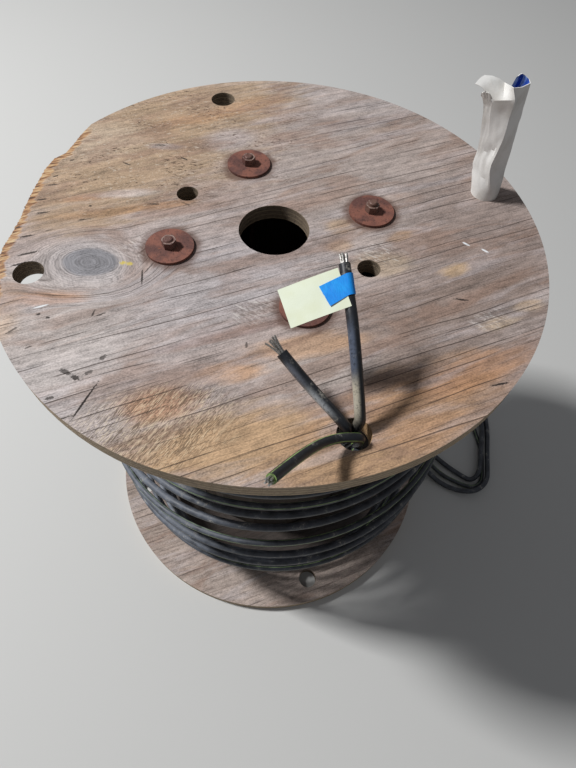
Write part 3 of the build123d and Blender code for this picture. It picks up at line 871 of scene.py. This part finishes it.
def torn_ply(number):
    """Make one ply's torn edge, which stands a little proud of the ply above it."""
    top = HEIGHT - 0.15 * MM - number * PLY_T

    def shape(u, v):
        azimuth = RIM_FIRST + (RIM_LAST - RIM_FIRST) * u
        worn = FLANGE_R / MM - blend_values(RIM_WEAR, azimuth)
        fade = min(1.0, 6 * u, 6 * (1 - u))
        long_tear = wild(azimuth * 0.45, number * 3.1)
        splinter = wild(azimuth * 2.3, number * 5.7) + 0.6 * wild(azimuth * 6.1, number * 1.9)
        reach = (PLY_REACH[number] * (1 + 0.8 * long_tear) + 2.2 * splinter) * fade
        radius = worn - PLY_ROOT + (PLY_ROOT + max(-1.0, reach)) * v
        radius = min(radius, FLANGE_R / MM - RIM_MARGIN)
        droop = 0.9 * v * fade * (0.4 + wild(azimuth * 1.7, number * 2.3))
        return polar(radius * MM, azimuth, top - droop * MM)

    ply = rolled_sheet(f"torn_ply_{number + 1}", RIM_COLUMNS, RIM_ROWS, shape, PLY_T * 0.9)
    smooth(ply, 25)
    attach(ply, "root")
    return ply


def splintered_wood():
    """Make the orange split wood that shows where the rim is torn."""
    paint = Paint("torn_wood", roughness=0.85)
    splinter = paint.noise((0.016, 0.0026, 0.0016), 4.0, 0.65, 0.4, turn=GRAIN_TURN)
    crumbs = paint.noise(0.002, 2.0, 0.6)
    colour = paint.ramp(splinter, [
        (0.32, rgb(62, 45, 36)), (0.43, rgb(138, 98, 68)), (0.54, rgb(180, 142, 104)), (0.70, rgb(212, 192, 158)),
    ])
    colour = paint.mix(paint.band(crumbs, 0.34, 0.46, 0.5, 0.0), colour, rgb(74, 58, 48))
    paint.colour(colour)
    paint.bump(paint.plus(splinter, crumbs), 0.0009, 0.8)
    return paint


# Sleeve: one strip of card rolled into a tube, crumpled above the hole and torn open at its top.
# Each ring gives its height above the flange, left and right x, middle y, depth, and how angular it is.
SLEEVE_RINGS = [
    (-27, 238.85, 270.65, 73.0, 31.8, 0.0), (-12, 238.85, 270.65, 73.0, 31.8, 0.0),
    (0, 238.85, 270.65, 73.0, 31.8, 0.0), (8, 236.6, 270.9, 73.1, 31.2, 0.1), (15, 234.6, 270.4, 73.2, 30.0, 0.25),
    (24, 232.2, 269.4, 73.4, 28.2, 0.5), (34, 230.0, 268.0, 73.7, 26.0, 0.75), (45, 229.0, 266.7, 74.0, 23.0, 1.0),
    (60, 228.2, 264.9, 74.4, 20.0, 1.0), (75, 225.4, 263.1, 74.8, 18.0, 1.0), (88, 222.4, 261.5, 75.2, 16.5, 1.0),
    (98, 219.6, 260.3, 75.5, 16.0, 1.0),
]
SLEEVE_CORNERS = [(-1, 0.45), (-0.66, -0.1), (0.15, -1.0), (1, 0.0), (0.5, 1.0), (-0.5, 1.0)]
FRONT_CREASE = [(38, -0.25), (60, -0.05), (75, 0.10), (90, 0.18), (105, 0.24), (125, 0.27)]

# The torn top: share round the sleeve, then x, y and height above the flange
SLEEVE_TOP = [
    (0, 212.0, 81, 115.4), (0.5, 213.9, 78, 118.4), (0.85, 218.7, 75.5, 118.2), (0.95, 222.9, 74.5, 113.3),
    (1.0, 207.0, 84, 123.8), (1.12, 210.8, 87, 127.9), (1.24, 214.5, 88, 130.9), (1.36, 225.1, 88, 130.1),
    (1.45, 231.7, 86, 126.6), (1.5, 233.3, 85, 125.0), (2.0, 236.2, 66, 129.6), (2.5, 245.8, 69, 129.0),
    (3.0, 256.2, 76, 129.6), (3.5, 256.0, 82, 130.5), (4.0, 252.1, 86, 132.2), (4.2, 247.2, 86, 134.2),
    (4.35, 244.4, 86, 131.0), (4.5, 246.0, 87, 119.0), (4.7, 240.0, 88, 110.0), (5.5, 222.0, 87, 108.0),
    (5.9, 213.0, 83, 111.0), (6.0, 212.0, 81, 115.4),
]
SLEEVE_FOLD = [(0.85, 104), (1.0, 111.5), (2.0, 119.2), (2.3, 108)]
SLEEVE_FOOT, SLEEVE_STRAIGHT = -27, 98
SLEEVE_COLUMNS, SLEEVE_ROWS = 72, 42
SLEEVE_KNEE = 26 / SLEEVE_ROWS
FOLD_SHARE = 5 / 16
SLEEVE_LEAST_DEPTH = 22.0
SLEEVE_MIDDLE_Y = 74.5
SLEEVE_CARD, TAG_CARD, TAPE_FILM = 0.0008, 0.0003, 0.0002
# Where the round sleeve has its six corners, in radians
CORNER_TURNS = [
    math.pi - 0.15, math.pi + 0.98, math.pi + 1.72, 2 * math.pi - 0.15, 2 * math.pi + 1.05, 3 * math.pi - 1.05,
    3 * math.pi - 0.15,
]


def ring_values(h):
    """Give the sleeve's left, right, middle y, depth and angular share at a height."""
    h = min(h, SLEEVE_STRAIGHT)
    return [blend_values([(ring[0], ring[k]) for ring in SLEEVE_RINGS], h) for k in range(1, 6)]


def sleeve_section(h, s):
    """Give the sleeve's outside at a height above the flange and a share s of six sides round it."""
    left, right, middle_y, deep, angular = ring_values(h)
    over = max(0.0, h - SLEEVE_STRAIGHT)
    left -= 0.28 * over
    right -= 0.12 * over
    deep = max(deep, SLEEVE_LEAST_DEPTH) + 0.10 * over
    centre = Vector(((left + right) / 2, middle_y))
    half = Vector(((right - left) / 2, deep / 2))
    corner, share = int(s) % 6, s - int(s)
    corners = list(SLEEVE_CORNERS)
    corners[2] = (blend_values(FRONT_CREASE, h), -1.0)
    flat = Vector(corners[corner]).lerp(Vector(corners[(corner + 1) % 6]), share)
    start, end = CORNER_TURNS[corner], CORNER_TURNS[corner + 1]
    turn = start + (end - start) * share
    rounded = Vector((math.cos(turn), math.sin(turn)))
    return centre + half * rounded.lerp(flat, angular)


def build_sleeve():
    """Make the card sleeve, with dents and a torn, folded top."""
    def section(h, s):
        # The last column closes on the first
        if s > 5.9999:
            s = 0.0
        place = sleeve_section(h, s)
        crumple = 0.9 * max(0.0, min(1.0, (h - 6) / 30))
        dent = crumple * (wild(s * 1.3, h * 0.045, 2.0) + 0.5 * wild(s * 3.1, h * 0.11, 7.0))
        left, right = ring_values(h)[:2]
        outward = Vector((place.x - (left + right) / 2, place.y - SLEEVE_MIDDLE_Y)).normalized()
        if s < 1.8:
            dent -= 1.5 * max(0.0, 1 - abs(h - 50 - 5 * s) / 6) + 0.9 * max(0.0, 1 - abs(h - 31 + 4 * s) / 5)
        return Vector((place.x + outward.x * dent, place.y + outward.y * dent, h))

    def shape(u, v):
        s = u * 6
        if v < SLEEVE_KNEE:
            place = section(SLEEVE_FOOT + (SLEEVE_STRAIGHT - SLEEVE_FOOT) * v / SLEEVE_KNEE, s)
        else:
            share = (v - SLEEVE_KNEE) / (1 - SLEEVE_KNEE)
            fold = blend_values(SLEEVE_FOLD, s)
            base = section(SLEEVE_STRAIGHT + (fold - SLEEVE_STRAIGHT) * min(1.0, share / FOLD_SHARE), s)
            tip = Vector([blend_values([(row[0], row[k]) for row in SLEEVE_TOP], s) for k in (1, 2, 3)])
            rise = max(0.0, (share - FOLD_SHARE) / (1 - FOLD_SHARE))
            place = base.lerp(tip, rise)
            if 1.0 <= s < 1.5:
                curl = max(0.0, rise - 0.72) / 0.28
                place += Vector((-3.4, 1.2, -1.6)) * curl ** 2 * min(1.0, (1.5 - s) / 0.2)
            if rise > 0.5 and s < 0.95 or s > 4.4:
                place.z += 1.6 * rise * wild(s * 11.0, 4.0)
                place.x += 0.9 * rise * wild(s * 13.0, 8.0)
        return (place + Vector((0, 0, HEIGHT / MM))) * MM

    def torn(u, v):
        return 11 < u * SLEEVE_COLUMNS < 12 and v > SLEEVE_KNEE + FOLD_SHARE * (1 - SLEEVE_KNEE)

    faces = (creased_card("white_card").mat, creased_card("white_card_inside", inside=True).mat)
    sleeve = rolled_sheet("card_tube", SLEEVE_COLUMNS, SLEEVE_ROWS, shape, SLEEVE_CARD, torn=torn, faces=faces)
    smooth(sleeve, 16)
    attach(sleeve, "root")
    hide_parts("card_sleeve")
    return sleeve


# Tag and tape lie in the plane that touches the tagged conductor's last run
CABLE_R = CABLE_DIA / MM / 2
RUN_START, RUN_END = (Vector(p) for p in UPPER_ENDS["tagged"][-2:])
ALONG = (RUN_END - RUN_START).normalized()
TAG_LEAN = Vector((0.9835, 0.0534, 0.1726))
ACROSS = (TAG_LEAN - ALONG * TAG_LEAN.dot(ALONG)).normalized()
UP = ACROSS.cross(ALONG)
TAG_SETBACK = 21
TAG_MIDDLE = RUN_END - ALONG * TAG_SETBACK
TAG_TURN = math.radians(12)
TAG_W, TAG_H = 53.0, 34.5
TAG_OVERLAP = 2.4
# Corners of the tape's flat part, across and along the conductor
TAPE_FOOT = [Vector(corner) for corner in ((-16.2, -14.8), (-23.3, 3.0), (0, -7.5), (0, 11.0))]
TAPE_WRAP = math.radians(150)
TAPE_TURN = math.radians(22)
TAPE_FLAT_SHARE = 0.62


def build_tag():
    """Make the blank tag, which curls a little away from the tape."""
    edge = TAG_MIDDLE + UP * (CABLE_R + 0.1) + ACROSS * (TAG_OVERLAP - CABLE_R)
    wide = ACROSS * math.cos(TAG_TURN) + ALONG * math.sin(TAG_TURN)
    high = ALONG * math.cos(TAG_TURN) - ACROSS * math.sin(TAG_TURN)

    def shape(u, v):
        free = 1 - u
        curl = -1.2 * free ** 2 + 0.5 * math.sin(math.pi * free) + 0.3 * wild(u * 3, v * 2, 1.0)
        twist = 1.0 * free * (v - 0.5)
        return (edge - wide * TAG_W * free + high * TAG_H * (v - 0.5) + UP * (curl + twist)) * MM

    tag = rolled_sheet("paper_tag", 36, 24, shape, TAG_CARD, offset=0.0)
    tag_paper().finish(tag)
    smooth(tag)
    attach(tag, "root")
    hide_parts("tag")
    return tag


def build_tape():
    """Make the tape, flat on the tag and then round the conductor."""
    bend_r = CABLE_R + 0.4

    def shape(u, v):
        lift = 0.62 + 0.10 * wild(u * 8, v * 3, 3.0)
        if u < TAPE_FLAT_SHARE:
            run = u / TAPE_FLAT_SHARE
            start, end = TAPE_FOOT[0].lerp(TAPE_FOOT[1], v), TAPE_FOOT[2].lerp(TAPE_FOOT[3], v)
            side, shift = start.lerp(end, run)
            up = CABLE_R + lift + (0.75 + 0.25 * wild(v * 3, 2.0)) * (1 - run)
            side -= 0.35 * (1 - run) * (1 + wild(v * 9, 6.0))
        else:
            turned = TAPE_WRAP * bend_r * (u - TAPE_FLAT_SHARE) / (1 - TAPE_FLAT_SHARE)
            angle = math.pi / 2 - turned / bend_r
            side, up = (CABLE_R + lift) * math.cos(angle), (CABLE_R + lift) * math.sin(angle)
            shift = TAPE_FOOT[2].lerp(TAPE_FOOT[3], v).y + turned * math.tan(TAPE_TURN) * 0.4
        return (TAG_MIDDLE + ACROSS * side + UP * up + ALONG * shift) * MM

    tape = rolled_sheet("blue_tape", 48, 14, shape, TAPE_FILM, offset=0.0)
    crepe_tape().finish(tape)
    smooth(tape)
    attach(tape, "root")
    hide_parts("masking_tape")
    return tape


# Bare wires of each end: length, splay and wire diameter in millimetres, and the seed of their random draws
WIRE_COUNT = 7
WIRES = {"tagged": (9, 0.9, 2.3, 3), "middle": (17, 3.6, 1.8, 8), "striped": (5, 0.7, 1.9, 5)}


def build_strands(name, metal):
    """Make one conductor's bare wires, which splay a little from its cut end."""
    length, spread, wire, seed = WIRES[name]
    before, tip = (Vector(p) for p in UPPER_ENDS[name][-2:])
    out = (tip - before).normalized()
    inside = 2
    side = out.orthogonal().normalized()
    over = out.cross(side)
    chance = random.Random(seed)
    wires = []
    for number in range(WIRE_COUNT):
        off_axis = min(number, 1)
        turn = 2 * math.pi * number / (WIRE_COUNT - 1) + chance.uniform(-0.15, 0.15)
        outward = (side * math.cos(turn) + over * math.sin(turn)) * off_axis
        root = tip - out * inside + outward * wire * 1.08
        drift = outward * spread * chance.uniform(0.4, 1.2)
        far = length * chance.uniform(0.82, 1.0)
        data = bpy.data.curves.new("wire", "CURVE")
        data.dimensions = "3D"
        data.bevel_depth = wire / 2 * MM
        data.bevel_resolution = 3
        data.use_fill_caps = True
        spline = data.splines.new("NURBS")
        spline.points.add(3)
        for mark, share in zip(spline.points, (0, 0.35, 0.7, 1)):
            mark.co = (*((root + out * (far + inside) * share + drift * share ** 2) * MM), 1)
        spline.order_u = 4
        spline.use_endpoint_u = True
        piece = bpy.data.objects.new("wire", data)
        bpy.context.scene.collection.objects.link(piece)
        wires.append(piece)
    deselect()
    for piece in wires:
        piece.select_set(True)
    bpy.context.view_layer.objects.active = wires[0]
    bpy.ops.object.convert(target="MESH")
    bpy.ops.object.join()
    bundle = bpy.context.object
    bundle.name = f"wires_{name}"
    metal.finish(bundle)
    smooth(bundle)
    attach(bundle, "root")
    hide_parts(f"strands_{name}")
    return bundle


def nodes_named(*starts):
    """Give the CAD nodes whose names start with one of these words."""
    return [obj for name, obj in NODES.items() if name.startswith(starts)]


def dress_wood():
    """Give both flanges and the staves their wood, and make the torn plies."""
    top = plywood(
        "plywood_top", GRAIN_TURN, TOP_FLANGE_Z, rgb(178, 168, 165), rgb(162, 147, 141), COLOUR_PATCHES, face=True,
    )
    top.finish(NODES["flange_top"])
    splintered_wood().finish(*[torn_ply(number) for number in range(PLY_COUNT)])
    base = plywood("plywood_bottom", BASE_GRAIN_TURN, 0.0, rgb(170, 155, 146), rgb(148, 132, 122))
    base.finish(NODES["flange_bottom"])
    stave_boards().finish(*nodes_named("stave_"))


def dress_steel():
    """Give washers, bolts and nuts their rust."""
    washers = rusted_steel("rusty_washer", rgb(134, 86, 72), rgb(160, 124, 108), 0.75)
    washers.finish(*nodes_named("washer_"))
    fixings = rusted_steel("rusty_bolt", rgb(112, 84, 74), rgb(196, 180, 170), 0.55, corner_highlight=True)
    fixings.finish(*nodes_named("bolt_", "nut_"))


# Pale dust and bluish-grey painted sheen on the left-facing sides of the upper ends: centre, half sizes, colour,
# strength
END_DUST_AND_SHEEN = [
    ((72, -234, 668), (14, 16, 26), rgb(190, 182, 164), 0.95),
    ((68, -206, 700), (10, 22, 24), rgb(98, 108, 128), 0.7),
    ((44, -233, 663), (24, 14, 14), rgb(176, 180, 184), 0.85),
    ((22, -217, 680), (16, 10, 12), rgb(120, 124, 136), 0.6),
]


def build_cable():
    """Make the wires, tag, tape, windings and upper ends, and give each its jacket."""
    metal = bare_metal()
    strands = {name: build_strands(name, metal) for name in UPPER_ENDS}
    on_ends = {name: [bundle] for name, bundle in strands.items()}
    on_ends["tagged"] += [build_tag(), build_tape()]
    routes = {name: wound_points(name) for name in TURN_Z}
    wound = {name: nurbs(f"winding_{name}", points) for name, points in routes.items()}
    ends = {name: nurbs(f"end_{name}", points) for name, points in UPPER_ENDS.items()}
    for name, obj in wound.items():
        declare(obj, routes[name][0])
        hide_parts("cable_winding", f"cable_tail_{name}")
    for name, obj in ends.items():
        declare(obj, UPPER_ENDS[name][0], on_ends[name])
        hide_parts(f"cable_end_{name}")
    dusty_jacket("cable_jacket", 0.85, 0.85).finish(wound["tagged"], wound["middle"])
    dusty_jacket("cable_jacket_ends", 0.22, 0.95, dust_and_sheen=END_DUST_AND_SHEEN).finish(ends["tagged"], ends["middle"])
    dusty_jacket("cable_jacket_striped", 0.75, 0.5, stripes=0.0).finish(wound["striped"])
    dusty_jacket("cable_jacket_striped_end", 0.15, 0.5, stripes=0.5).finish(ends["striped"])


# Floor and light

FLOOR_SIZE = 8
FLOOR_COLOUR = rgb(203, 203, 201)
SKY_COLOUR = (0.93, 0.95, 1, 1)
SKY_STRENGTH = 0.17
LAMP_POWER = 245
LAMP_SIZE = 0.6
LAMP_PLACE = Vector((-3.02, 0.78, 3.97))
LAMP_AIM = Vector((0, 0, 0.55))


def add_floor():
    """Lay the plain pale floor."""
    deselect()
    bpy.ops.mesh.primitive_plane_add(size=FLOOR_SIZE)
    floor = bpy.context.object
    floor.name = "floor"
    paper = Paint("floor", roughness=0.9)
    paper.colour(FLOOR_COLOUR)
    paper.finish(floor)


def add_light():
    """Set an even sky and one soft lamp high on the left."""
    scene = bpy.context.scene
    scene.world = scene.world or bpy.data.worlds.new("world")
    scene.world.use_nodes = True
    sky = scene.world.node_tree.nodes["Background"]
    sky.inputs["Color"].default_value = SKY_COLOUR
    sky.inputs["Strength"].default_value = SKY_STRENGTH
    lamp = bpy.data.objects.new("key", bpy.data.lights.new("key", "AREA"))
    lamp.data.energy = LAMP_POWER
    lamp.data.size = LAMP_SIZE
    lamp.location = LAMP_PLACE
    lamp.rotation_euler = (LAMP_AIM - LAMP_PLACE).to_track_quat("-Z", "Y").to_euler()
    scene.collection.objects.link(lamp)
    scene.view_settings.view_transform = "Standard"


add_camera()
dress_wood()
dress_steel()
build_cable()
build_sleeve()
add_floor()
add_light()

bpy.context.view_layer.update()
